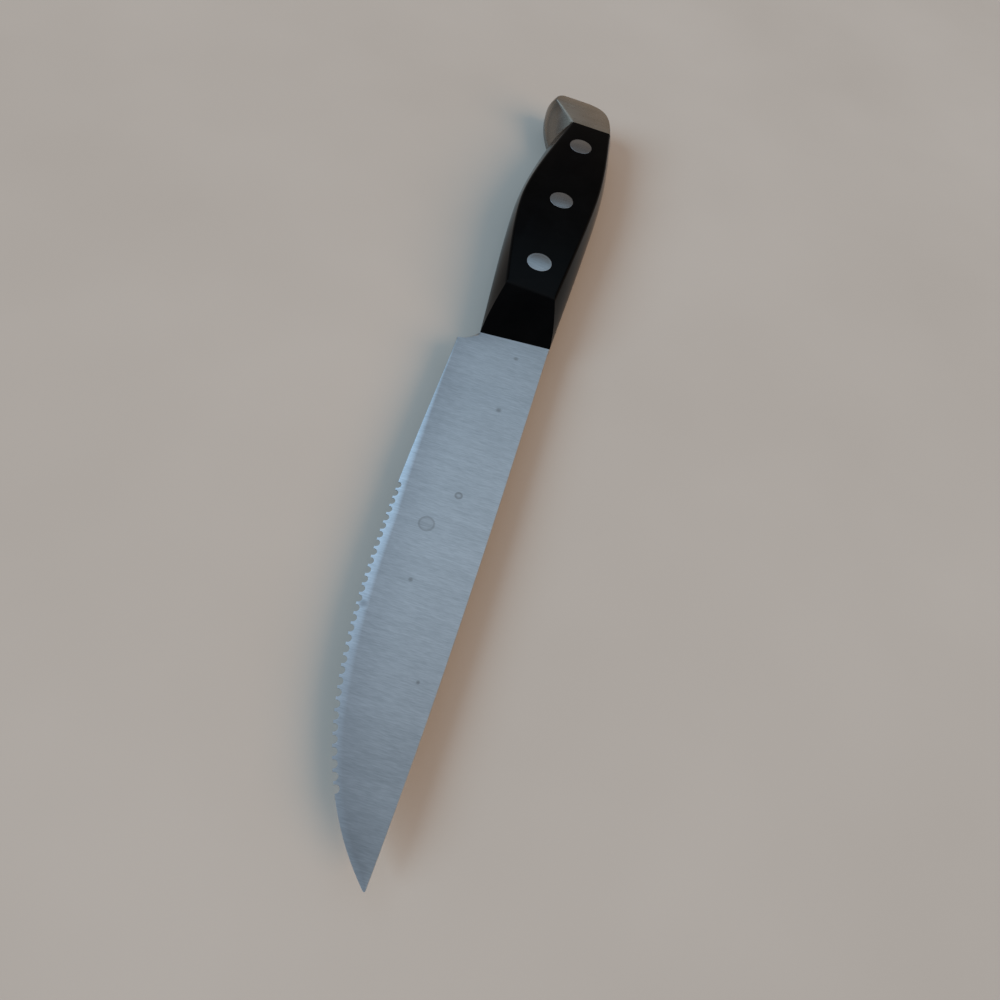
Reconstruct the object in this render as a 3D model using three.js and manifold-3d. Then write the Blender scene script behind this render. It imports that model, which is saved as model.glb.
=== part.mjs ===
// A steak knife: a ground blade with micro-serrations and a full tang, two moulded scales,
// three two-piece compression rivets and a hooked steel end cap.
// Millimetres. X runs towards the tip, Y towards the spine, Z through the thickness.
// The drawing's zero is the front rivet's axis, on the blade's middle plane.
import * as THREE from 'three';
import { mergeVertices } from 'three/addons/utils/BufferGeometryUtils.js';
import Module from 'manifold-3d';

const wasm = await Module();
wasm.setup();

// Blade
const bladeLength = 114.7; // heel corner to tip
const bladeHeight = 21.4; // spine to edge at the heel
const spineHeight = 8.95; // spine above the rivet line, at the handle
const spineFall = 1.8; // drop of the spine from the handle to the tip
const spineTurn = 3.5; // power of that drop: 1 is a straight line, more keeps the drop for the tip
const edgeRun = 61; // reach of the edge's level run out of the heel
const edgeBow = 1.8; // how far the edge's curve is pulled below the heel, nearer the tip
const tipSweep = 19.4; // reach of that pull back from the tip
const tipFlat = 0.35; // height of the blunt end of the tip
const heelLead = 3.5; // heel corner ahead of the scales
const heelHollow = 0.8; // hollow of the heel's back edge
const stockThickness = 1.8; // tang, and blade where it leaves the handle
const spineTipThickness = 0.9; // spine by the tip
const shoulderThickness = 1.1; // blade at the edge bevel's shoulder, by the heel
const shoulderTipThickness = 0.34; // the same by the tip
const edgeThickness = 0.14; // the sharpened edge itself
const grindRun = 16; // length over which the flat grind runs in
const bevelWidth = 1.75; // edge bevel at full width
const bevelHeelWidth = 0.2; // edge bevel where it runs out at the heel
const bevelRun = 50; // length over which it grows to full width
const bevelTipWidth = 0.5; // edge bevel at the tip
const bevelTipRun = 36; // length over which it narrows to that
const tipBevelShare = 0.6; // most of the blade's height that the bevel takes at the tip

// Serrations, set out along the edge
const serrationStart = 43.3; // plain edge by the heel
const serrationTipMargin = 15; // plain edge by the tip
const serrationPitch = 2;
const serrationRadius = 0.74;
const serrationInset = 0.15; // centre of each bite inside the edge

// Rivets
const rivetRanks = ['front', 'middle', 'rear'];
const rivetPitch = 26;
const rivetDiameter = 6.35;
const rivetHead = 1.7; // thickness of each head
const barrelDiameter = 4.2;
const studDiameter = 2.8;
const rivetGap = 0.05; // all round each rivet, and between its halves
const rivetEnd = 0.3; // left free past the end of the barrel and of the stud

// Handle, as an outline where the scales meet the tang and a smaller one at each flank
const handleThickness = 12.5; // flank to flank
const frontLead = 23.8; // front rivet to the belly corner of the scales' front end
const frontSlant = 1.8; // how much further back its spine corner is
const frontSpine = 9.1; // heights of both corners from the rivet line
const frontBelly = 7.9;
const rampLength = 13.7; // sloping front end, seen from above, along the belly
const rampTopLead = 0.7; // how much further forward the ramp's top is at the spine
const rampTopSpine = 6.5;
const rampTopBelly = 5.8;
const spineSwellSetback = 33; // fullest point of the spine behind the front rivet
const spineSwell = 10.55;
const bellySwellSetback = 25; // fullest point of the belly behind the front rivet
const bellySwell = 11.75;
const chamferWidth = 1.4; // from the outline in to the flank, behind the ramp
const sideCrown = 1.5; // 1 gives flat chamfers, more gives fuller sides

// End cap
const rearMargin = 10.4; // rear rivet to the cap's seam
const seamSpine = 8.3; // spine's height at the seam
const capLength = 14.4; // seam to butt
const capShoulder = 8; // reach of the spine's line past the seam, before the butt's rounding
const shoulderDrop = 1.4; // how far the spine's line falls over that reach
const buttRounding = 8; // reach of the rounding up the butt
const buttDrop = 3.4; // furthest point of the butt below the rivet line
const buttChamfer = 2.5; // from the butt in to the flank
const hookDepth = 13.8; // hook's lowest point below the rivet line
const hookWidth = 3.6; // from the butt to the hook's lowest point
const hookRounding = 2.6; // height of the hook's rounded corner
const hookSweep = 8; // reach of the hook's inner curve before it turns to the waist
const waistLead = 7.4; // waist ahead of the seam
const waistBelly = 9.1;
const ridgeBelly = 4.6; // flank's belly edge at the seam
const ridgeDepth = 11.8; // flank's lowest point on the hook
const ridgeSetback = 5.2; // turning point of the flank's edge, behind the seam
const ridgeTurn = 8.6; // and below the rivet line
const toeLead = 0.5; // cap's toe ahead of the waist
const seamGap = 0.1; // hairline between the cap and the scales and tang
const tailLength = 8; // tang's tail inside the cap
const tailHeight = 6.5;
const tailGap = 0.12; // slot all round the tang's tail

// Facets
const weldReach = 1e-5; // corners closer than this are one corner
const gripSteps = 14;
const frontSteps = 5;
const roundSteps = 8;
const hookSteps = 12;
const sideSteps = 6;
const bladeSteps = 44;
const heelSteps = 4;
const rivetSides = 32;
const serrationSides = 16;

// Places worked out from the sizes above
const flankZ = handleThickness / 2;
const tangZ = stockThickness / 2;
const headZ = flankZ - rivetHead;
const frontX = frontLead;
const rampTopX = frontX - rampLength;
const rivetXs = rivetRanks.map((rank, order) => -order * rivetPitch);
const seamX = rivetXs.at(-1) - rearMargin;
const buttX = seamX - capLength;
const waistX = seamX + waistLead;
const heelX = frontX + heelLead;
const heelY = spineHeight - bladeHeight;
const tipX = heelX + bladeLength;
const tipY = spineHeight - spineFall - tipFlat;
const beyond = frontX - buttX; // the handle's own length, so that cutters reach past it

function point(x, y) {
  return new THREE.Vector2(x, y);
}

// A closed mesh as a solid that can be cut and joined: corners merged, flat triangles left out
function solid(geometry) {
  const bare = geometry.clone();
  bare.deleteAttribute('normal');
  bare.deleteAttribute('uv');
  const welded = mergeVertices(bare, weldReach);
  const corners = welded.index.array;
  const triangles = [];
  for (let i = 0; i < corners.length; i += 3) {
    const [a, b, c] = corners.slice(i, i + 3);
    if (a !== b && b !== c && c !== a) {
      triangles.push(a, b, c);
    }
  }
  const vertProperties = new Float32Array(welded.attributes.position.array);
  const triVerts = new Uint32Array(triangles);
  return new wasm.Manifold(new wasm.Mesh({ numProp: 3, vertProperties, triVerts }));
}

function geometryOf(body) {
  const mesh = body.getMesh();
  const geometry = new THREE.BufferGeometry();
  geometry.setAttribute('position', new THREE.BufferAttribute(mesh.vertProperties, 3));
  geometry.setIndex(new THREE.BufferAttribute(mesh.triVerts, 1));
  geometry.computeVertexNormals();
  return geometry;
}

// A body through rings of equally many points, given in order along its axis. Each patch between two
// rings is split along its shorter diagonal.
// flatten gives a ring's point in the plane across the axis, where each ring runs anticlockwise.
function loft(rings, flatten) {
  const corners = rings.flat();
  const count = rings[0].length;
  const faces = [];
  for (let ring = 0; ring + 1 < rings.length; ring += 1) {
    for (let i = 0; i < count; i += 1) {
      const a = ring * count + i;
      const b = ring * count + ((i + 1) % count);
      const [c, d] = [b + count, a + count];
      if (corners[a].distanceTo(corners[c]) < corners[b].distanceTo(corners[d])) {
        faces.push(a, b, c, a, c, d);
      } else {
        faces.push(a, b, d, b, c, d);
      }
    }
  }
  const lastRing = (rings.length - 1) * count;
  for (const [a, b, c] of THREE.ShapeUtils.triangulateShape(rings[0].map(flatten), [])) {
    faces.push(c, b, a);
  }
  for (const [a, b, c] of THREE.ShapeUtils.triangulateShape(rings.at(-1).map(flatten), [])) {
    faces.push(lastRing + a, lastRing + b, lastRing + c);
  }
  const geometry = new THREE.BufferGeometry().setFromPoints(corners);
  geometry.setIndex(faces);
  return solid(geometry);
}

function plate(shape, lowZ, highZ) {
  const geometry = new THREE.ExtrudeGeometry(shape, { depth: highZ - lowZ, bevelEnabled: false });
  geometry.translate(0, 0, lowZ);
  return solid(geometry);
}

function block(lowX, highX, height, thickness) {
  const geometry = new THREE.BoxGeometry(highX - lowX, height, thickness);
  geometry.translate((lowX + highX) / 2, 0, 0);
  return solid(geometry);
}

// A round bar along Z
function bar(x, y, radius, lowZ, highZ, sides) {
  const geometry = new THREE.CylinderGeometry(radius, radius, highZ - lowZ, sides);
  geometry.rotateX(Math.PI / 2);
  geometry.translate(x, y, (lowZ + highZ) / 2);
  return solid(geometry);
}

// The whole handle, scales, tang and cap together, as it is ground to one surface.
// Both outlines have the same curves in the same order, so that each point has its partner.
const atTang = {
  frontSpine: point(frontX - frontSlant, frontSpine),
  spineSwell: point(-spineSwellSetback, spineSwell),
  seamSpine: point(seamX, seamSpine),
  capShoulder: point(seamX - capShoulder, seamSpine - shoulderDrop),
  butt: point(buttX, -buttDrop),
  hookCorner: point(buttX, -hookDepth + hookRounding),
  hookTip: point(buttX + hookWidth, -hookDepth),
  hookCurve: point(buttX + hookWidth + hookSweep, -hookDepth),
  waist: point(waistX, -waistBelly),
  bellySwell: point(-bellySwellSetback, -bellySwell),
  frontBelly: point(frontX, -frontBelly),
};

const atFlank = {
  frontSpine: point(rampTopX + rampTopLead, rampTopSpine),
  spineSwell: point(-spineSwellSetback, spineSwell - chamferWidth),
  seamSpine: point(seamX, seamSpine - chamferWidth),
  capShoulder: point(seamX - capShoulder, seamSpine - shoulderDrop - chamferWidth),
  butt: point(buttX + buttChamfer, -buttDrop),
  hookCorner: point(buttX + buttChamfer, -ridgeDepth + hookRounding),
  hookTip: point(buttX + buttChamfer + hookWidth, -ridgeDepth),
  hookCurve: point(seamX - ridgeSetback, -ridgeTurn),
  waist: point(seamX, -ridgeBelly),
  bellySwell: point(-bellySwellSetback, -bellySwell + chamferWidth),
  frontBelly: point(rampTopX, -rampTopBelly),
};

function handleOutline(at) {
  const corner = point(at.butt.x, at.butt.y + buttRounding);
  const knuckle = point(at.butt.x, at.hookTip.y);
  const curves = [
    [new THREE.SplineCurve([at.frontSpine, at.spineSwell, at.seamSpine]), gripSteps],
    [new THREE.CubicBezierCurve(at.seamSpine, at.capShoulder, corner, at.butt), roundSteps],
    [new THREE.LineCurve(at.butt, at.hookCorner), 1],
    [new THREE.QuadraticBezierCurve(at.hookCorner, knuckle, at.hookTip), roundSteps],
    [new THREE.QuadraticBezierCurve(at.hookTip, at.hookCurve, at.waist), hookSteps],
    [new THREE.SplineCurve([at.waist, at.bellySwell, at.frontBelly]), gripSteps],
    [new THREE.LineCurve(at.frontBelly, at.frontSpine), frontSteps],
  ];
  return curves.flatMap(([curve, steps]) => curve.getPoints(steps).slice(1));
}

function handleBody() {
  const tangOutline = handleOutline(atTang);
  const flankOutline = handleOutline(atFlank);
  const rings = [];
  for (const side of [-1, 1]) {
    for (let step = 0; step <= sideSteps; step += 1) {
      const rise = (side < 0 ? sideSteps - step : step) / sideSteps;
      const z = side * THREE.MathUtils.lerp(tangZ, flankZ, rise);
      const ring = tangOutline.map((low, i) => {
        const x = THREE.MathUtils.lerp(low.x, flankOutline[i].x, rise);
        const y = THREE.MathUtils.lerp(low.y, flankOutline[i].y, rise ** sideCrown);
        return new THREE.Vector3(x, y, z);
      });
      rings.push(ring);
    }
  }
  return loft(rings, (corner) => point(corner.x, corner.y));
}

// Everything behind the cap's seam: straight across the flanks, then forward along the belly's crease
// to a toe just ahead of the waist.
function behindSeam(shift) {
  const toe = point(waistX + toeLead, -waistBelly);
  const crease = toe.clone().sub(atFlank.waist);
  const outside = toe.clone().add(crease);
  const shape = new THREE.Shape();
  shape.moveTo(seamX + shift, beyond);
  shape.lineTo(buttX - beyond, beyond);
  shape.lineTo(buttX - beyond, -beyond);
  shape.lineTo(outside.x + shift, -beyond);
  shape.lineTo(outside.x + shift, outside.y + shift);
  shape.lineTo(seamX + shift, -ridgeBelly + shift);
  return plate(shape, -beyond, beyond);
}

// Blade
const edgeCurve = new THREE.CubicBezierCurve(
  point(heelX, heelY),
  point(heelX + edgeRun, heelY),
  point(tipX - tipSweep, heelY - edgeBow),
  point(tipX, tipY),
);

// Height of the spine, which leaves the handle level and drops more and more steeply to the tip
function spineAt(x) {
  const share = Math.max((x - frontX) / (tipX - frontX), 0);
  return spineHeight - spineFall * share ** spineTurn;
}

// A section across the blade: spine, flat-ground faces, bevel shoulders and edge
function bladeSection(x, top, bottom, lean) {
  const share = THREE.MathUtils.clamp((x - frontX) / (tipX - frontX), 0, 1);
  const ground = THREE.MathUtils.smoothstep(x, frontX, frontX + grindRun);
  const sharpened = THREE.MathUtils.clamp((x - heelX) / bevelRun, 0, 1) ** 2;
  const nearTip = THREE.MathUtils.smoothstep(x, tipX - bevelTipRun, tipX);
  const fullWidth = THREE.MathUtils.lerp(bevelWidth, bevelTipWidth, nearTip);
  const bevel = THREE.MathUtils.lerp(bevelHeelWidth, fullWidth, sharpened);
  const shoulder = bottom + Math.min(bevel / lean, tipBevelShare * (top - bottom));
  const spineZ = THREE.MathUtils.lerp(stockThickness, spineTipThickness, share) / 2;
  const groundZ = THREE.MathUtils.lerp(shoulderThickness, shoulderTipThickness, share) / 2;
  const shoulderZ = THREE.MathUtils.lerp(tangZ, groundZ, ground);
  const edgeZ = THREE.MathUtils.lerp(shoulderZ, edgeThickness / 2, bevel / fullWidth);
  return [
    new THREE.Vector3(x, top, -spineZ),
    new THREE.Vector3(x, top, spineZ),
    new THREE.Vector3(x, shoulder, shoulderZ),
    new THREE.Vector3(x, bottom, edgeZ),
    new THREE.Vector3(x, bottom, -edgeZ),
    new THREE.Vector3(x, shoulder, -shoulderZ),
  ];
}

function bladeBody() {
  const heelTop = atTang.frontBelly;
  const heel = point(heelX, heelY);
  const hollow = point((heelTop.x + heel.x) / 2 + heelHollow, (heelTop.y + heel.y) / 2);
  const backEdge = new THREE.QuadraticBezierCurve(heelTop, hollow, heel);
  const rootX = atTang.frontSpine.x;
  const rings = [bladeSection(rootX, spineAt(rootX), heelTop.y, 1)];
  for (const at of backEdge.getPoints(heelSteps).slice(0, -1)) {
    rings.push(bladeSection(at.x, spineAt(at.x), at.y, 1));
  }
  for (let step = 0; step <= bladeSteps; step += 1) {
    const at = edgeCurve.getPoint(step / bladeSteps);
    const lean = edgeCurve.getTangent(step / bladeSteps).x;
    rings.push(bladeSection(at.x, spineAt(at.x), at.y, lean));
  }
  return loft(rings, (corner) => point(corner.y, corner.z));
}

// Round bites through the edge at an even pitch
function serrations() {
  const edgeLength = edgeCurve.getLength();
  const bites = [];
  for (let along = serrationStart; along < edgeLength - serrationTipMargin; along += serrationPitch) {
    const at = edgeCurve.getPointAt(along / edgeLength);
    const run = edgeCurve.getTangentAt(along / edgeLength);
    const x = at.x - run.y * serrationInset;
    const y = at.y + run.x * serrationInset;
    bites.push(bar(x, y, serrationRadius, -tangZ, tangZ, serrationSides));
  }
  return bites;
}

function bladeWithTang(handle) {
  const tang = handle.intersect(block(buttX - beyond, frontX + beyond, beyond, stockThickness));
  const tail = block(seamX - tailLength, seamX + tailLength, tailHeight, stockThickness);
  let steel = tang.subtract(behindSeam(seamGap)).add(tail).add(bladeBody());
  for (const bite of serrations()) {
    steel = steel.subtract(bite);
  }
  for (const x of rivetXs) {
    steel = steel.subtract(bar(x, 0, barrelDiameter / 2 + rivetGap, -beyond, beyond, rivetSides));
  }
  return steel;
}

// Scales, one on each side of the tang, with counterbored rivet holes
function scale(handle, side) {
  const half = new THREE.BoxGeometry(2 * beyond, beyond, flankZ);
  half.translate((frontX + buttX) / 2, 0, side * (tangZ + flankZ / 2));
  let body = handle.intersect(solid(half)).subtract(behindSeam(seamGap));
  for (const x of rivetXs) {
    const [low, high] = [side * headZ, side * beyond].sort((a, b) => a - b);
    body = body.subtract(bar(x, 0, barrelDiameter / 2 + rivetGap, -beyond, beyond, rivetSides));
    body = body.subtract(bar(x, 0, rivetDiameter / 2 + rivetGap, low, high, rivetSides));
  }
  return body;
}

// Rivet halves, turned about their own axis
function turned(profile) {
  const geometry = new THREE.LatheGeometry(profile, rivetSides);
  geometry.rotateX(Math.PI / 2);
  return geometryOf(solid(geometry));
}

function rivetStud() {
  return turned([
    point(0, -headZ + rivetEnd),
    point(studDiameter / 2, -headZ + rivetEnd),
    point(studDiameter / 2, headZ),
    point(rivetDiameter / 2, headZ),
    point(rivetDiameter / 2, flankZ),
    point(0, flankZ),
  ]);
}

function rivetBarrel() {
  return turned([
    point(0, -flankZ),
    point(rivetDiameter / 2, -flankZ),
    point(rivetDiameter / 2, -headZ),
    point(barrelDiameter / 2, -headZ),
    point(barrelDiameter / 2, headZ - rivetEnd),
    point(studDiameter / 2 + rivetGap, headZ - rivetEnd),
    point(studDiameter / 2 + rivetGap, -headZ),
    point(0, -headZ),
  ]);
}

// End cap, slotted for the tang's tail
function endCap(handle) {
  const slotEnd = seamX - tailLength - tailGap;
  const slot = block(slotEnd, frontX, tailHeight + 2 * tailGap, stockThickness + 2 * tailGap);
  return handle.intersect(behindSeam(0)).subtract(slot);
}

// Finishes
const bladeSteel = new THREE.MeshStandardMaterial({ color: '#8a9aa6', roughness: 0.38, metalness: 1 });
const scalePlastic = new THREE.MeshStandardMaterial({ color: '#0a0b0d', roughness: 0.35, metalness: 0 });
const rivetSteel = new THREE.MeshStandardMaterial({ color: '#a9adb0', roughness: 0.3, metalness: 1 });
const capSteel = new THREE.MeshStandardMaterial({ color: '#8f8a82', roughness: 0.42, metalness: 1 });

const knife = new THREE.Group();

function place(name, geometry, material, x = 0) {
  const mesh = new THREE.Mesh(geometry, material.clone());
  mesh.name = name;
  mesh.position.x = x;
  knife.add(mesh);
}

const handle = handleBody();
place('blade', geometryOf(bladeWithTang(handle)), bladeSteel);
place('upper_scale', geometryOf(scale(handle, 1)), scalePlastic);
place('lower_scale', geometryOf(scale(handle, -1)), scalePlastic);
rivetRanks.forEach((rank, order) => {
  place(`${rank}_rivet_stud`, rivetStud(), rivetSteel, rivetXs[order]);
  place(`${rank}_rivet_barrel`, rivetBarrel(), rivetSteel, rivetXs[order]);
});
place('end_cap', geometryOf(endCap(handle)), capSteel);

// The finished knife lies on its lower flank, with its origin under the middle of its box
const extent = new THREE.Box3().setFromObject(knife);
const middle = extent.getCenter(new THREE.Vector3());
knife.position.set(-middle.x, -middle.y, flankZ);

export default knife;
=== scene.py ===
import math

import bpy
import numpy as np
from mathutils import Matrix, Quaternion, Vector
from mathutils.geometry import interpolate_bezier


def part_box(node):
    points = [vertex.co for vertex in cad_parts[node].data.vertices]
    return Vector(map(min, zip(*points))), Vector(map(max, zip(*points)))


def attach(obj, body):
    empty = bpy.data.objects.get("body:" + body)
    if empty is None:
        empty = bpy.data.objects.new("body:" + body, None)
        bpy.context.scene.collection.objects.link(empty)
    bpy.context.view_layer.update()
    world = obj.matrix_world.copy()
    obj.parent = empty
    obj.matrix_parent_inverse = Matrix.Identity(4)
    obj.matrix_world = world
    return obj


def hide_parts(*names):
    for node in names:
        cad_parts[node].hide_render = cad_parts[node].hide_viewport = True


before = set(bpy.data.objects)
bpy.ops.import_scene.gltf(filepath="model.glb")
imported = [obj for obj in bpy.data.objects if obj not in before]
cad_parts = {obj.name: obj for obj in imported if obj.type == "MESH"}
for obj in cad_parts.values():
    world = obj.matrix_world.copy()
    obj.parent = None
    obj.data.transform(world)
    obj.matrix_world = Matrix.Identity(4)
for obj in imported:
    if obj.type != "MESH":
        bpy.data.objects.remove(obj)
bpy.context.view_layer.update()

# Blade
# One stamping of stainless steel that runs on through the handle as a full tang. Both faces are ground
# on a belt, almost straight across, and thin out towards the edge and the tip. The edge is whetted, and
# a row of small round teeth is ground through it. The rivets hold it between the scales.
mm = 0.001
blade_low, blade_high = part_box("blade")
stud_low, stud_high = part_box("front_rivet_stud")
scale_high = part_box("upper_scale")[1]
rivet_axis = (stud_low + stud_high) / 2
# Pieces are drawn about the front rivet's axis, on the blade's middle plane, and then moved home
home = Vector((rivet_axis.x, rivet_axis.y, (blade_low.z + blade_high.z) / 2))
stock = blade_high.z - blade_low.z
tip_x = blade_high.x - home.x
front_x = scale_high.x - home.x
# Lines of the edge and the spine
heel = Vector((front_x + 3.5 * mm, -12.45 * mm))
heel_hollow = 0.8 * mm
heel_round = 0.9 * mm
spine_height = 8.95 * mm
spine_fall = 1.8 * mm
spine_turn = 3.5
tip_flat = 0.35 * mm
edge_run = 61 * mm
edge_bow = 1.8 * mm
tip_sweep = 19.4 * mm
# Thickness of the ground faces, and the bevel of the edge
spine_tip = 0.9 * mm
tip_grind_height = 9 * mm
shoulder_stock = 1.1 * mm
shoulder_tip = 0.34 * mm
whetted_stock = 0.14 * mm
grind_run = 16 * mm
bevel_width = 1.75 * mm
bevel_heel_width = 0.2 * mm
bevel_run = 50 * mm
bevel_tip_width = 0.5 * mm
bevel_tip_run = 36 * mm
tip_bevel_share = 0.6
edge_ease = 0.08 * mm
shoulder_ease = 0.7 * mm
shoulder_limit = 0.3
# The face is darkened in a band of this width beside the bevel, up to this share of the face's height
dark_band_width = 7 * mm
dark_band_limit = 0.9
# Where the painted reflection on the bevel comes up and fades along the blade
bevel_sheen_start = heel.x + 25 * mm
bevel_sheen_end = tip_x - 60 * mm
bevel_sheen_fade_start = tip_x - 24 * mm
faded_bevel_sheen = 0.25
# Teeth, by their distance along the edge from the heel
tooth_start = 43.3 * mm
tooth_end = 104 * mm
tooth_pitch = 2 * mm
tooth_radius = 0.74 * mm
tooth_inset = 0.15 * mm
# Rivets that go through the tang
rivet_pitch = 26 * mm
rivet_places = [0, -rivet_pitch, -2 * rivet_pitch]
barrel_diameter = 4.2 * mm
rivet_gap = 0.05 * mm
# Outline of the tang, which the scales share
front_spine = Vector((front_x - 1.8 * mm, 9.1 * mm))
front_belly = Vector((front_x, -7.9 * mm))
spine_swell = Vector((-33 * mm, 10.54 * mm))
belly_swell = Vector((-25 * mm, -11.75 * mm))
seam_x = rivet_places[-1] - 10.4 * mm
seam_gap = 0.1 * mm
seam_spine = Vector((seam_x, 8.3 * mm))
seam_belly = Vector((seam_x, -4.6 * mm))
waist = Vector((seam_x + 7.4 * mm, -9.1 * mm))
toe = waist + Vector((0.5 * mm, 0))
tail_length = 8 * mm
tail_height = 6.5 * mm
tail_step = 0.08 * mm
belly_clear = 1 * mm
# Fineness of the meshes
edge_steps = 90
back_steps = 8
grip_steps = 24
tooth_sides = 28
hole_sides = 48
weld_distance = 0.002 * mm
sliver_size = 0.001 * mm


def smooth_line(knots, steps):
    """Points on a smooth line through the knots, with equally many steps between them."""
    last = len(knots) - 1
    line = [knots[0]]
    for i in range(last):
        lean_out = knots[i] + (knots[i + 1] - knots[max(i - 1, 0)]) / 6
        lean_in = knots[i + 1] - (knots[min(i + 2, last)] - knots[i]) / 6
        line += interpolate_bezier(knots[i], lean_out, lean_in, knots[i + 1], steps + 1)[1:]
    return line


def share(value, start, end):
    """How far a value is from start to end, held between 0 and 1."""
    return min(max((value - start) / (end - start), 0), 1)


def eased(part):
    """Turns a share into one that starts and ends gently."""
    return part * part * (3 - 2 * part)


def between(start, end, part):
    """The value or place at this share of the way from start to end."""
    return start + (end - start) * part


def arc(start, middle, end, steps):
    """Points on a curve that leaves start towards middle and reaches end from middle."""
    lean_out = between(start, middle, 2 / 3)
    lean_in = between(end, middle, 2 / 3)
    return interpolate_bezier(start, lean_out, lean_in, end, steps + 1)


tang_spine = smooth_line([seam_spine, spine_swell, front_spine], grip_steps)


def spine_at(x):
    """How high the spine lies at a place along the knife."""
    if x <= front_spine.x:
        return float(np.interp(x, [at.x for at in tang_spine], [at.y for at in tang_spine]))
    return spine_height - spine_fall * share(x, front_x, tip_x) ** spine_turn


def blade_section(x, bottom, lean=1.0, top=None):
    """Upper half of a section: from the spine's corner over the face and the bevel to the edge."""
    top = spine_at(x) if top is None else top
    out = share(x, front_x, tip_x)
    ground = eased(share(x, front_x, front_x + grind_run))
    shoulder_z = between(stock, between(shoulder_stock, shoulder_tip, out), ground) / 2
    # The face keeps its slope where the blade narrows to the tip, so the spine thins there
    narrowed = min((top - bottom) / tip_grind_height, 1)
    spine_z = between(shoulder_z, between(stock, spine_tip, out) / 2, narrowed)
    # At the tip the section grows smaller than the easing, which then shrinks with it
    ease = min(edge_ease, (top - bottom) / 5, shoulder_z / 2)
    if x < heel.x:
        # The back of the heel is rounded for the finger that rests against it
        bevel = between(ease, heel_round, share(x, front_x, front_x + heel_round))
        edge_z = shoulder_z - bevel / 2
    else:
        near_tip = eased(share(x, tip_x - bevel_tip_run, tip_x))
        full_width = between(bevel_width, bevel_tip_width, near_tip)
        whetted = share(x, heel.x, heel.x + bevel_run) ** 2
        width = between(bevel_heel_width, full_width, whetted)
        bevel = min(width / lean, tip_bevel_share * (top - bottom))
        drop = bevel * lean / full_width * (1 - near_tip)
        edge_z = between(shoulder_z, whetted_stock / 2, drop)
    spine_y = top - ease
    shoulder_y = bottom + bevel
    face_height = spine_y - shoulder_y
    # Rows that bound the darkened band beside the bevel, and the blend into the bevel
    dark_band_share = min(dark_band_width / face_height, dark_band_limit)
    blended = min(min(shoulder_ease, bevel) / face_height, shoulder_limit)
    section = [(x, top, spine_z - ease), (x, spine_y, spine_z)]
    for up in [dark_band_share, blended, 0]:
        section.append((x, between(shoulder_y, spine_y, up), between(shoulder_z, spine_z, up)))
    section.append((x, bottom, edge_z))
    return section


def sheet(name, rows):
    """A sheet of faces through rows of points, which all have equally many."""
    bpy.ops.mesh.primitive_grid_add(x_subdivisions=len(rows[0]) - 1, y_subdivisions=len(rows) - 1)
    piece = bpy.context.object
    piece.name = name
    for vertex in piece.data.vertices:
        row, column = divmod(vertex.index, len(rows[0]))
        vertex.co = rows[row][column]
    return piece


def pick(piece):
    """Selects one piece alone and makes it active."""
    bpy.ops.object.select_all(action="DESELECT")
    piece.select_set(True)
    bpy.context.view_layer.objects.active = piece


def edit(piece, select="VERT"):
    """Opens one piece in edit mode, with nothing selected on it."""
    pick(piece)
    bpy.ops.object.mode_set(mode="EDIT")
    bpy.ops.mesh.select_mode(type=select)
    bpy.ops.mesh.select_all(action="DESELECT")


def select_rim():
    """Selects the edges that have a face on one side alone."""
    bpy.ops.mesh.select_non_manifold(
        extend=False,
        use_wire=False,
        use_multi_face=False,
        use_non_contiguous=False,
        use_verts=False,
    )


def mirror_down():
    """Mirrors what is selected in edit mode through the blade's middle plane."""
    bpy.ops.transform.resize(value=(1, 1, -1), center_override=(0, 0, 0))
    bpy.ops.mesh.flip_normals()


def round_bar(x, y, radius, low, high, sides):
    """A round bar that stands upright, from low to high."""
    bpy.ops.mesh.primitive_cylinder_add(
        vertices=sides, radius=radius, depth=high - low, location=(x, y, (low + high) / 2)
    )
    return bpy.context.object


def bars_at_rivets(diameter, low, high, sides):
    """Round bars on the rivets' axes, which cut holes with clearance for this diameter."""
    return [round_bar(x, 0, diameter / 2 + rivet_gap, low, high, sides) for x in rivet_places]


def cut(piece, tools, operation="DIFFERENCE"):
    """Cuts a piece with tools that are then thrown away."""
    pick(tools[0])
    for tool in tools[1:]:
        tool.select_set(True)
    if len(tools) > 1:
        bpy.ops.object.join()
    cutter = bpy.context.object
    modifier = piece.modifiers.new("cut", "BOOLEAN")
    modifier.operation = operation
    modifier.solver = "EXACT"
    modifier.object = cutter
    bpy.context.view_layer.objects.active = piece
    bpy.ops.object.modifier_apply(modifier=modifier.name)
    bpy.data.objects.remove(cutter)


def finish_piece(piece, node, smooth_degrees):
    """Shades a drawn piece, moves it home and makes it stand for its node."""
    edit(piece)
    bpy.ops.mesh.select_all(action="SELECT")
    bpy.ops.mesh.remove_doubles(threshold=weld_distance)
    bpy.ops.mesh.dissolve_degenerate(threshold=sliver_size)
    bpy.ops.object.mode_set(mode="OBJECT")
    bpy.ops.object.shade_smooth_by_angle(angle=math.radians(smooth_degrees))
    piece.location = home
    bpy.ops.object.transform_apply(location=True, rotation=False, scale=False)
    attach(piece, "root")
    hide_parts(node)


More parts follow.
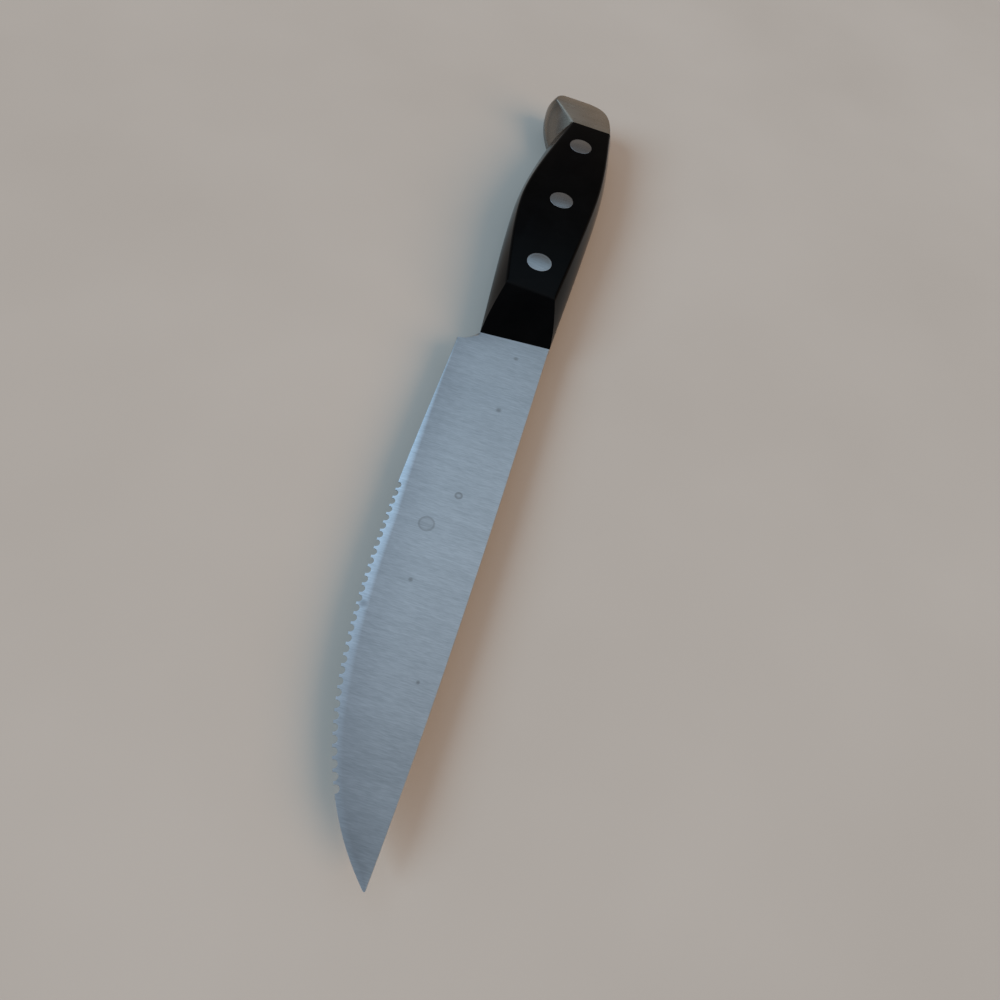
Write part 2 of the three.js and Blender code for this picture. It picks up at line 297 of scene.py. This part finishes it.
hollow = (front_belly + heel) / 2 + Vector((heel_hollow, 0))
back_edge = arc(front_belly, hollow, heel, back_steps)
edge = interpolate_bezier(
    heel,
    heel + Vector((edge_run, 0)),
    Vector((tip_x - tip_sweep, heel.y - edge_bow)),
    Vector((tip_x, spine_height - spine_fall - tip_flat)),
    edge_steps + 1,
)
tang_belly = smooth_line([waist, belly_swell, front_belly], grip_steps)
gap = Vector((seam_gap, seam_gap))
step_x = seam_x + seam_gap
sections = [
    blade_section(seam_x - tail_length, -tail_height / 2, top=tail_height / 2),
    blade_section(step_x - tail_step, -tail_height / 2, top=tail_height / 2),
    blade_section(step_x, seam_belly.y + seam_gap),
]
sections += [blade_section(at.x, at.y) for at in [between(seam_belly, toe, 0.5) + gap, toe + gap]]
belly_start = toe.x + seam_gap + belly_clear
sections += [blade_section(at.x, at.y) for at in tang_belly if at.x > belly_start]
sections += [blade_section(at.x, at.y) for at in back_edge[1:-1]]
for i, at in enumerate(edge):
    run = (edge[min(i + 1, edge_steps)] - edge[max(i - 1, 0)]).normalized()
    sections.append(blade_section(at.x, at.y, run.x))

blade = sheet("blade_steel_body", list(zip(*sections)))
# A level on each corner for the edge colour: a darkened band beside the bevel, and a painted reflection
# on the bevel
edge_band_and_sheen = blade.data.attributes.new("edge_band_and_sheen", "FLOAT", "CORNER")
dark_band_level = 0.5
# One level for each row of the sections, from the spine to the edge
row_levels = [0, 0, 0, dark_band_level, 0.75, 1]
for corner in blade.data.loops:
    row, column = divmod(corner.vertex_index, len(sections))
    x = sections[column][0][0]
    # The painted reflection on the bevel comes up away from the heel and fades again towards the tip
    sheen_fade = eased(share(x, bevel_sheen_end, bevel_sheen_fade_start))
    bevel_sheen = share(x, heel.x, bevel_sheen_start) * between(1, faded_bevel_sheen, sheen_fade)
    level = row_levels[row]
    if level > dark_band_level:
        level = between(dark_band_level, level, bevel_sheen)
    edge_band_and_sheen.data[corner.index].value = level if x > front_x else 0
edit(blade)
bpy.ops.mesh.select_all(action="SELECT")
bpy.ops.mesh.duplicate()
mirror_down()
bpy.ops.mesh.select_mode(type="EDGE")
select_rim()
bpy.ops.mesh.bridge_edge_loops()
bpy.ops.mesh.select_all(action="SELECT")
bpy.ops.mesh.normals_make_consistent(inside=False)
bpy.ops.object.mode_set(mode="OBJECT")

teeth = []
walked = 0
next_tooth = tooth_start
for start, end in zip(edge, edge[1:]):
    length = (end - start).length
    while next_tooth < min(walked + length, tooth_end):
        at = between(start, end, (next_tooth - walked) / length)
        run = (end - start).normalized()
        x = at.x - run.y * tooth_inset
        y = at.y + run.x * tooth_inset
        teeth.append(round_bar(x, y, tooth_radius, -stock, stock, tooth_sides))
        next_tooth += tooth_pitch
    walked += length
cut(blade, teeth + bars_at_rivets(barrel_diameter, -stock, stock, hole_sides))
finish_piece(blade, "blade", smooth_degrees=28)


def add_node(material, kind, inputs, **settings):
    """Adds a shader node to a material, with its settings and input values."""
    made = material.node_tree.nodes.new("ShaderNode" + kind)
    for name, value in settings.items():
        setattr(made, name, value)
    for name, value in inputs.items():
        made.inputs[name].default_value = value
    return made


def add_ramp(material, amount, stops):
    """Turns an amount into a colour, by stops of place and colour."""
    ramp = add_node(material, "ValToRGB", {})
    while len(ramp.color_ramp.elements) < len(stops):
        ramp.color_ramp.elements.new(1)
    for element, (place, colour) in zip(ramp.color_ramp.elements, stops):
        element.position = place
        element.color = (*colour, 1)
    material.node_tree.links.new(amount, ramp.inputs["Fac"])
    return ramp.outputs["Color"]


def add_math(material, operation, first, second):
    """Joins two amounts, where the second may be a plain number."""
    joined = add_node(material, "Math", {}, operation=operation)
    material.node_tree.links.new(first, joined.inputs[0])
    if isinstance(second, (int, float)):
        joined.inputs[1].default_value = second
    else:
        material.node_tree.links.new(second, joined.inputs[1])
    return joined.outputs["Value"]


def ground_lines(material, width, length, turn):
    """An amount that runs in fine broken lines, as a grinding belt leaves them."""
    place = add_node(material, "TexCoord", {})
    stretch = (1 / width, 1 / length, 1 / length)
    turned = add_node(material, "Mapping", {"Rotation": (0, 0, turn), "Scale": stretch})
    lines = add_node(material, "TexNoise", {"Scale": 1, "Detail": 2.5, "Roughness": 0.6})
    material.node_tree.links.new(place.outputs["Object"], turned.inputs["Vector"])
    material.node_tree.links.new(turned.outputs["Vector"], lines.inputs["Vector"])
    return lines.outputs["Fac"]


def tinted(material, colour, tint):
    """Multiplies a colour by a tint."""
    mix = add_node(material, "Mix", {"Factor": 1}, data_type="RGBA", blend_type="MULTIPLY")
    material.node_tree.links.new(colour, mix.inputs["A"])
    material.node_tree.links.new(tint, mix.inputs["B"])
    return mix.outputs["Result"]


def ground_steel(material, colours, roughness, lines, relief, tints=()):
    """A metal with ground lines in colour and relief, tints over its colour and an uneven polish."""
    shader = material.node_tree.nodes["Principled BSDF"]
    shader.inputs["Metallic"].default_value = 1
    place = add_node(material, "TexCoord", {})
    polish = add_node(material, "TexNoise", {"Scale": 140, "Detail": 2})
    span = {"From Min": 0.3, "From Max": 0.7, "To Min": roughness[0], "To Max": roughness[1]}
    spread = add_node(material, "MapRange", span)
    bump = add_node(material, "Bump", {"Strength": relief, "Distance": 0.02 * mm})
    links = material.node_tree.links
    colour = add_ramp(material, lines, [(0.3, colours[0]), (0.7, colours[1])])
    for tint in tints:
        colour = tinted(material, colour, tint)
    links.new(colour, shader.inputs["Base Color"])
    links.new(place.outputs["Object"], polish.inputs["Vector"])
    links.new(polish.outputs["Fac"], spread.inputs["Value"])
    links.new(spread.outputs["Result"], shader.inputs["Roughness"])
    links.new(lines, bump.inputs["Height"])
    links.new(bump.outputs["Normal"], shader.inputs["Normal"])


def dried_drops(material, drops, height):
    """An amount that marks where drops dried on the upper face, as rings and specks."""
    place = add_node(material, "TexCoord", {})
    total = None
    for x, y, radius, profile in drops:
        reach = add_node(material, "VectorMath", {}, operation="DISTANCE")
        reach.inputs[1].default_value = home + Vector((x * mm, y * mm, height))
        material.node_tree.links.new(place.outputs["Object"], reach.inputs[0])
        amount = add_math(material, "DIVIDE", reach.outputs["Value"], radius * mm)
        stops = [(part, (level, level, level)) for part, level in profile]
        drop = add_ramp(material, amount, stops)
        total = drop if total is None else add_math(material, "MAXIMUM", total, drop)
    return total


# How strongly a dried drop shows, from its middle out to its rim
wide_ring = [(0, 0.2), (0.68, 0.2), (0.82, 0.5), (0.88, 0.45), (1, 0)]
small_ring = [(0, 0.1), (0.3, 0.2), (0.68, 0.65), (0.8, 0.6), (1, 0)]
speck = [(0, 0.7), (0.4, 0.6), (1, 0)]
# Place from the front rivet's axis, and radius, in millimetres
drops = [
    (77.3, -3.9, 1.82, wide_ring),
    (68.8, 0.3, 0.95, small_ring),
    (44.3, 2.3, 0.8, speck),
    (28.2, 2.2, 0.8, speck),
    (89.9, -3, 0.6, speck),
    (97.4, -9.8, 1.1, speck),
    (108.4, 4.6, 0.45, speck),
]
steel = bpy.data.materials.new("blade_steel")
steel.use_nodes = True
blade.data.materials.append(steel)
belt_turn = math.radians(-11)
fine_share = 0.7
fine_lines = ground_lines(steel, width=0.2 * mm, length=2 * mm, turn=belt_turn)
broad_lines = ground_lines(steel, width=1.4 * mm, length=26 * mm, turn=belt_turn)
fine_part = add_math(steel, "MULTIPLY", fine_lines, fine_share)
broad_part = add_math(steel, "MULTIPLY", broad_lines, 1 - fine_share)
face_lines = add_math(steel, "ADD", fine_part, broad_part)
# A band of the face beside the bevel is darkened, and a brighter, bluer reflection is painted onto the
# bevel
edge_place = add_node(steel, "Attribute", {}, attribute_name="edge_band_and_sheen")
edge_band_and_sheen_stops = [
    (0, (1, 1, 1)),
    (0.5, (0.85, 0.85, 0.86)),
    (0.7, (1.06, 1.11, 1.16)),
    (1, (1.14, 1.21, 1.28)),
]
edge_band_and_sheen_tint = add_ramp(steel, edge_place.outputs["Fac"], edge_band_and_sheen_stops)
drop_stops = [(0, (1, 1, 1)), (1, (0.45, 0.42, 0.4))]
drop_tint = add_ramp(steel, dried_drops(steel, drops, shoulder_stock / 2), drop_stops)
steel_colours = [(0.5, 0.54, 0.57), (0.7, 0.74, 0.78)]
steel_roughness = (0.28, 0.32)
steel_tints = [edge_band_and_sheen_tint, drop_tint]
ground_steel(steel, steel_colours, steel_roughness, face_lines, relief=0.015, tints=steel_tints)

# Scales
# Two black moulded plates, one on each side of the tang and mirror images of each other. Their flanks
# are flat, their sides are chamfered full, and a long ramp leads down to the blade. They are riveted
# through the tang.
flank_z = scale_high.z - home.z
tang_z = stock / 2
side_crown = 1.5
chamfer = 1.4 * mm
ramp_top_x = front_x - 13.7 * mm
ramp_top_lead = 0.7 * mm
ramp_top_spine = 6.5 * mm
ramp_top_belly = 5.8 * mm
rim_round = 0.5 * mm
rim_tolerance = 0.01 * mm
rivet_diameter = stud_high.x - stud_low.x
head_z = flank_z - 1.7 * mm
side_steps = 10
front_steps = 8
round_steps = 14
hook_steps = 22
head_sides = 64
# The end cap shares the handle's ground outline
butt_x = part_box("end_cap")[0].x - home.x
butt_drop = 3.4 * mm
butt_round = 8 * mm
butt_chamfer = 2.5 * mm
cap_shoulder = 8 * mm
shoulder_drop = 1.4 * mm
hook_depth = 13.8 * mm
hook_width = 3.6 * mm
hook_round = 2.6 * mm
hook_sweep = 8 * mm
ridge_depth = 11.8 * mm
ridge_setback = 5.2 * mm
ridge_turn = 8.6 * mm
at_tang = {
    "front spine": front_spine,
    "spine swell": spine_swell,
    "seam spine": seam_spine,
    "cap shoulder": seam_spine - Vector((cap_shoulder, shoulder_drop)),
    "butt": Vector((butt_x, -butt_drop)),
    "hook corner": Vector((butt_x, -hook_depth + hook_round)),
    "hook tip": Vector((butt_x + hook_width, -hook_depth)),
    "hook curve": Vector((butt_x + hook_width + hook_sweep, -hook_depth)),
    "waist": waist,
    "belly swell": belly_swell,
    "front belly": front_belly,
}
inwards = Vector((0, chamfer))
at_flank = {
    "front spine": Vector((ramp_top_x + ramp_top_lead, ramp_top_spine)),
    "spine swell": at_tang["spine swell"] - inwards,
    "seam spine": at_tang["seam spine"] - inwards,
    "cap shoulder": at_tang["cap shoulder"] - inwards,
    "butt": Vector((butt_x + butt_chamfer, -butt_drop)),
    "hook corner": Vector((butt_x + butt_chamfer, -ridge_depth + hook_round)),
    "hook tip": Vector((butt_x + butt_chamfer + hook_width, -ridge_depth)),
    "hook curve": Vector((seam_x - ridge_setback, -ridge_turn)),
    "waist": seam_belly,
    "belly swell": at_tang["belly swell"] + inwards,
    "front belly": Vector((ramp_top_x, -ramp_top_belly)),
}


def handle_outline(at):
    """The handle's closed outline from the front, along the spine, round the hook and back."""
    corner = at["butt"] + Vector((0, butt_round))
    knuckle = Vector((at["butt"].x, at["hook tip"].y))
    butt_curve = [at["seam spine"], at["cap shoulder"], corner, at["butt"]]
    line = smooth_line([at["front spine"], at["spine swell"], at["seam spine"]], grip_steps)
    line += interpolate_bezier(*butt_curve, round_steps + 1)[1:]
    line += arc(at["hook corner"], knuckle, at["hook tip"], round_steps)
    line += arc(at["hook tip"], at["hook curve"], at["waist"], hook_steps)[1:]
    line += smooth_line([at["waist"], at["belly swell"], at["front belly"]], grip_steps)[1:]
    for step in range(1, front_steps + 1):
        line.append(between(at["front belly"], at["front spine"], step / front_steps))
    return line


def ground_handle(name, sides):
    """The handle as it is ground, on the sides asked for: -1 is below the tang and 1 above it."""
    low_line = handle_outline(at_tang)
    high_line = handle_outline(at_flank)
    rings = []
    for side in sides:
        steps = range(side_steps + 1) if side > 0 else range(side_steps, -1, -1)
        for rise in [step / side_steps for step in steps]:
            ring = []
            for low, high in zip(low_line, high_line):
                x = between(low.x, high.x, rise)
                y = between(low.y, high.y, rise**side_crown)
                ring.append((x, y, side * between(tang_z, flank_z, rise)))
            rings.append(ring)
    piece = sheet(name, rings)
    edit(piece, "EDGE")
    bpy.ops.mesh.select_all(action="SELECT")
    bpy.ops.mesh.remove_doubles(threshold=weld_distance)
    bpy.ops.mesh.fill_holes(sides=0)
    bpy.ops.mesh.normals_make_consistent(inside=False)
    bpy.ops.mesh.select_all(action="DESELECT")
    bpy.ops.object.mode_set(mode="OBJECT")
    for rim_edge in piece.data.edges:
        ends = [piece.data.vertices[corner].co for corner in rim_edge.vertices]
        rim_edge.select = all(abs(end.z) > flank_z - rim_tolerance for end in ends)
    bpy.ops.object.mode_set(mode="EDIT")
    bpy.ops.mesh.bevel(offset=rim_round, segments=4, profile=0.5)
    bpy.ops.object.mode_set(mode="OBJECT")
    return piece


def behind_seam(shift):
    """All that lies behind the end cap's seam, which runs across the flank and on along the crease."""
    beyond = front_x - butt_x
    moved = Vector((shift, shift))
    corner = seam_belly + moved
    outside = 2 * toe - seam_belly + moved
    outline = [
        (corner.x, beyond, -beyond),
        (butt_x - beyond, beyond, -beyond),
        (butt_x - beyond, -beyond, -beyond),
        (outside.x, -beyond, -beyond),
        (outside.x, outside.y, -beyond),
        (corner.x, corner.y, -beyond),
    ]
    bpy.ops.mesh.primitive_circle_add(vertices=len(outline), fill_type="NGON")
    prism = bpy.context.object
    for vertex, place in zip(prism.data.vertices, outline):
        vertex.co = place
    edit(prism)
    bpy.ops.mesh.select_all(action="SELECT")
    bpy.ops.mesh.extrude_region_move(TRANSFORM_OT_translate={"value": (0, 0, 2 * beyond)})
    bpy.ops.mesh.select_all(action="SELECT")
    bpy.ops.mesh.normals_make_consistent(inside=False)
    bpy.ops.object.mode_set(mode="OBJECT")
    return prism


def copy_of(piece, name):
    """A second piece like the first, with a mesh of its own."""
    pick(piece)
    bpy.ops.object.duplicate()
    copy = bpy.context.object
    copy.name = name
    return copy


upper_scale = ground_handle("upper_scale_plate", [1])
cut(upper_scale, [behind_seam(seam_gap)])
cut(upper_scale, bars_at_rivets(barrel_diameter, 0, 2 * flank_z, hole_sides))
cut(upper_scale, bars_at_rivets(rivet_diameter, head_z, 2 * flank_z, head_sides))
plastic = bpy.data.materials.new("black_plastic")
upper_scale.data.materials.append(plastic)
plastic.use_nodes = True
plastic_shader = plastic.node_tree.nodes["Principled BSDF"]
plastic_shader.inputs["Specular IOR Level"].default_value = 0.08
plastic_place = add_node(plastic, "TexCoord", {})
skin = add_node(plastic, "TexNoise", {"Scale": 2500, "Detail": 3, "Roughness": 0.6})
handling = add_node(plastic, "TexNoise", {"Scale": 160, "Detail": 4, "Roughness": 0.65})
gloss_span = {"From Min": 0.3, "From Max": 0.7, "To Min": 0.08, "To Max": 0.14}
gloss = add_node(plastic, "MapRange", gloss_span)
skin_bump = add_node(plastic, "Bump", {"Strength": 0.06, "Distance": 0.02 * mm})
links = plastic.node_tree.links
links.new(plastic_place.outputs["Object"], skin.inputs["Vector"])
links.new(plastic_place.outputs["Object"], handling.inputs["Vector"])
links.new(handling.outputs["Fac"], gloss.inputs["Value"])
links.new(gloss.outputs["Result"], plastic_shader.inputs["Roughness"])
black_stops = [(0.3, (0.0005, 0.0005, 0.0006)), (0.7, (0.0011, 0.0011, 0.0012))]
black = add_ramp(plastic, handling.outputs["Fac"], black_stops)
links.new(black, plastic_shader.inputs["Base Color"])
links.new(skin.outputs["Fac"], skin_bump.inputs["Height"])
links.new(skin_bump.outputs["Normal"], plastic_shader.inputs["Normal"])

lower_scale = copy_of(upper_scale, "lower_scale_plate")
edit(lower_scale)
bpy.ops.mesh.select_all(action="SELECT")
mirror_down()
bpy.ops.object.mode_set(mode="OBJECT")
finish_piece(upper_scale, "upper_scale", smooth_degrees=24)
finish_piece(lower_scale, "lower_scale", smooth_degrees=24)

# Rivets
# Three cutlery rivets, each a solid steel stud pressed into a hollow barrel from the other side. Their
# heads sit in counterbores and are ground flush with the flanks, with a slight crown left on them.
stud_diameter = 2.8 * mm
rivet_end = 0.3 * mm
shank_length = 2 * head_z - rivet_end
head_crown = 0.05 * mm
head_ease = 0.06 * mm
crown_rings = 4
squarely = 0.999
rivet_steel = bpy.data.materials.new("rivet_steel")
rivet_steel.use_nodes = True
rivet_lines = ground_lines(rivet_steel, width=0.3 * mm, length=3 * mm, turn=math.radians(20))
rivet_colours = [(0.56, 0.57, 0.58), (0.66, 0.67, 0.68)]
rivet_roughness = (0.12, 0.16)
ground_steel(rivet_steel, rivet_colours, rivet_roughness, rivet_lines, relief=0.02)


def select_facing(piece, direction):
    """Selects the faces that look squarely up, for a direction of 1, or down, for -1."""
    bpy.ops.object.mode_set(mode="OBJECT")
    for face in piece.data.polygons:
        face.select = face.normal.z * direction > squarely
    bpy.ops.object.mode_set(mode="EDIT")


def rivet_half(name):
    """A crowned head with its top at the flank, left in edit mode with its lower face selected."""
    rim_z = flank_z - head_crown
    half = round_bar(0, 0, rivet_diameter / 2, head_z, rim_z, head_sides)
    half.name = name
    half.data.materials.append(rivet_steel)
    bpy.ops.object.transform_apply(location=True)
    edit(half, "FACE")
    select_facing(half, 1)
    bpy.ops.mesh.bevel(offset=head_ease, segments=3, profile=0.5)
    ring_width = (rivet_diameter / 2 - 2 * head_ease) / (crown_rings + 0.5)
    select_facing(half, 1)
    bpy.ops.mesh.inset(thickness=head_ease)
    for step in range(crown_rings):
        lift = head_crown * 2 * (crown_rings - step - 0.5) / crown_rings**2
        bpy.ops.mesh.inset(thickness=ring_width, depth=lift)
    select_facing(half, -1)
    return half


stud = rivet_half("rivet_stud")
bpy.ops.mesh.inset(thickness=(rivet_diameter - stud_diameter) / 2)
bpy.ops.mesh.extrude_region_move(TRANSFORM_OT_translate={"value": (0, 0, -shank_length)})
bpy.ops.object.mode_set(mode="OBJECT")

barrel = rivet_half("rivet_barrel")
bpy.ops.mesh.inset(thickness=(rivet_diameter - barrel_diameter) / 2)
bpy.ops.mesh.extrude_region_move(TRANSFORM_OT_translate={"value": (0, 0, -shank_length)})
bpy.ops.mesh.inset(thickness=(barrel_diameter - stud_diameter) / 2 - rivet_gap)
bpy.ops.mesh.extrude_region_move(TRANSFORM_OT_translate={"value": (0, 0, shank_length)})
bpy.ops.mesh.select_all(action="SELECT")
mirror_down()
bpy.ops.object.mode_set(mode="OBJECT")

for half, kind in [(stud, "stud"), (barrel, "barrel")]:
    for rank, x in zip(["front", "middle", "rear"], rivet_places):
        rivet = copy_of(half, rank + "_" + kind + "_steel")
        edit(rivet)
        bpy.ops.mesh.select_all(action="SELECT")
        bpy.ops.transform.translate(value=(x, 0, 0))
        bpy.ops.object.mode_set(mode="OBJECT")
        finish_piece(rivet, rank + "_rivet_" + kind, smooth_degrees=35)
    bpy.data.objects.remove(half)

# End cap
# A solid steel butt with a hook for the little finger, ground flush with the scales and slotted for
# the tang's tail. On the real knife it is welded to the tang.
tail_gap = 0.12 * mm
end_cap = ground_handle("end_cap_steel", [-1, 1])
cut(end_cap, [behind_seam(0)], "INTERSECT")
slot_start = seam_x - tail_length - tail_gap
slot_end = front_x
bpy.ops.mesh.primitive_cube_add(size=1, location=((slot_start + slot_end) / 2, 0, 0))
tail_slot = bpy.context.object
tail_slot.scale = (slot_end - slot_start, tail_height + 2 * tail_gap, stock + 2 * tail_gap)
bpy.ops.object.transform_apply(location=True, scale=True)
cut(end_cap, [tail_slot])
cap_steel = bpy.data.materials.new("cap_steel")
cap_steel.use_nodes = True
cap_lines = ground_lines(cap_steel, width=0.4 * mm, length=5 * mm, turn=math.radians(12))
# Painted shade by facing: the sides are darkened the more they turn away from straight up, with a
# painted brighter, bluer band at one slope, and the flanks keep their full colour
cap_place = add_node(cap_steel, "TexCoord", {})
cap_facing = add_node(cap_steel, "SeparateXYZ", {})
cap_steel.node_tree.links.new(cap_place.outputs["Normal"], cap_facing.inputs["Vector"])
cap_up = add_math(cap_steel, "ABSOLUTE", cap_facing.outputs["Z"], 0)
facet_painted_shade_stops = [
    (0, (0.24, 0.27, 0.3)),
    (0.35, (0.28, 0.31, 0.34)),
    (0.62, (0.38, 0.4, 0.43)),
    (0.79, (0.74, 0.77, 0.82)),
    (0.86, (0.36, 0.36, 0.36)),
    (0.92, (0.42, 0.43, 0.44)),
    (0.995, (1, 1, 1)),
]
# Painted shade and highlight over the cap steel, by how far each face turns from straight up
cap_painted_shade = add_ramp(cap_steel, cap_up, facet_painted_shade_stops)
cap_colours = [(0.65, 0.55, 0.44), (0.72, 0.61, 0.5)]
cap_roughness = (0.24, 0.3)
ground_steel(cap_steel, cap_colours, cap_roughness, cap_lines, relief=0.015, tints=[cap_painted_shade])
end_cap.data.materials.append(cap_steel)
finish_piece(end_cap, "end_cap", smooth_degrees=24)

# Floor, light and camera
# A wide pale floor under soft daylight: cool from the edge's side, warm from the spine's side, and
# a broad cool sky behind the handle that the blade mirrors.
bpy.ops.mesh.primitive_plane_add(size=30)
floor = bpy.context.object
floor.name = "pale_floor"
paint = bpy.data.materials.new("pale_floor")
paint.use_nodes = True
paint_shader = paint.node_tree.nodes["Principled BSDF"]
paint_shader.inputs["Roughness"].default_value = 0.9
paint_shader.inputs["Specular IOR Level"].default_value = 0.1
paint_place = add_node(paint, "TexCoord", {})
mottle = add_node(paint, "TexNoise", {"Scale": 12, "Detail": 3})
paint.node_tree.links.new(paint_place.outputs["Object"], mottle.inputs["Vector"])
pale_stops = [(0.3, (0.44, 0.4, 0.36)), (0.7, (0.47, 0.43, 0.39))]
pale = add_ramp(paint, mottle.outputs["Fac"], pale_stops)
paint.node_tree.links.new(pale, paint_shader.inputs["Base Color"])
floor.data.materials.append(paint)

world = bpy.data.worlds.new("studio")
bpy.context.scene.world = world
world.use_nodes = True
sky_place = add_node(world, "TexCoord", {})
sky_parts = add_node(world, "SeparateXYZ", {})
# From the horizon, at 0, to straight above, at 1
sky_heights = [
    (0, (0.3, 0.28, 0.26)),
    (0.32, (0.24, 0.22, 0.2)),
    (0.5, (0.14, 0.12, 0.105)),
    (0.54, (0.1, 0.09, 0.085)),
    (0.61, (0.11, 0.115, 0.12)),
    (0.65, (0.245, 0.335, 0.415)),
    (0.69, (0.31, 0.4, 0.49)),
    (0.8, (0.44, 0.52, 0.6)),
    (0.9, (0.45, 0.53, 0.61)),
    (0.96, (0.38, 0.43, 0.49)),
    (1, (0.1, 0.12, 0.14)),
]
world.node_tree.links.new(sky_place.outputs["Generated"], sky_parts.inputs["Vector"])
sky_side = add_node(world, "MapRange", {"From Min": -1, "From Max": 1})
world.node_tree.links.new(sky_parts.outputs["Y"], sky_side.inputs["Value"])
side_stops = [(0, (0.88, 1, 1.12)), (1, (1.12, 0.97, 0.82))]
side_tint = add_ramp(world, sky_side.outputs["Result"], side_stops)
sky_colour = tinted(world, add_ramp(world, sky_parts.outputs["Z"], sky_heights), side_tint)
world.node_tree.links.new(sky_colour, world.node_tree.nodes["Background"].inputs["Color"])
# Place that each light comes from, colour, energy and width in degrees
daylight = [
    ("cool_left", (0.5, -0.66, 0.56), (0.58, 0.82, 1), 2.3, 32),
    ("warm_right", (0.35, 0.7, 0.55), (1, 0.66, 0.42), 2, 40),
    ("sky_left", (-0.5, -0.48, 0.72), (0.6, 0.83, 1), 0.06, 22),
]
for name, place, colour, energy, width in daylight:
    bpy.ops.object.light_add(type="SUN", location=place)
    light = bpy.context.object
    light.name = name
    light.data.color = colour
    light.data.energy = energy
    light.data.angle = math.radians(width)
    light.rotation_euler = Vector(place).to_track_quat("Z", "Y").to_euler()
    # The steel mirrors the sky alone, because a lamp would burn out white in its flat faces
    light.visible_glossy = name == "sky_left"

camera_place = Vector((0.1171, 0.0079, 0.1379))
camera_aim = Vector((0.0337, 0.0103, 0.0063))
camera_roll = math.radians(19.56)
camera_lens = 26.93
bpy.ops.object.camera_add(location=camera_place)
camera = bpy.context.object
look = (camera_aim - camera_place).to_track_quat("-Z", "Y")
camera.rotation_euler = (look @ Quaternion((0, 0, 1), camera_roll)).to_euler()
camera.data.lens = camera_lens
camera.data.clip_start = 0.01
bpy.context.scene.camera = camera
bpy.context.scene.view_settings.view_transform = "Standard"
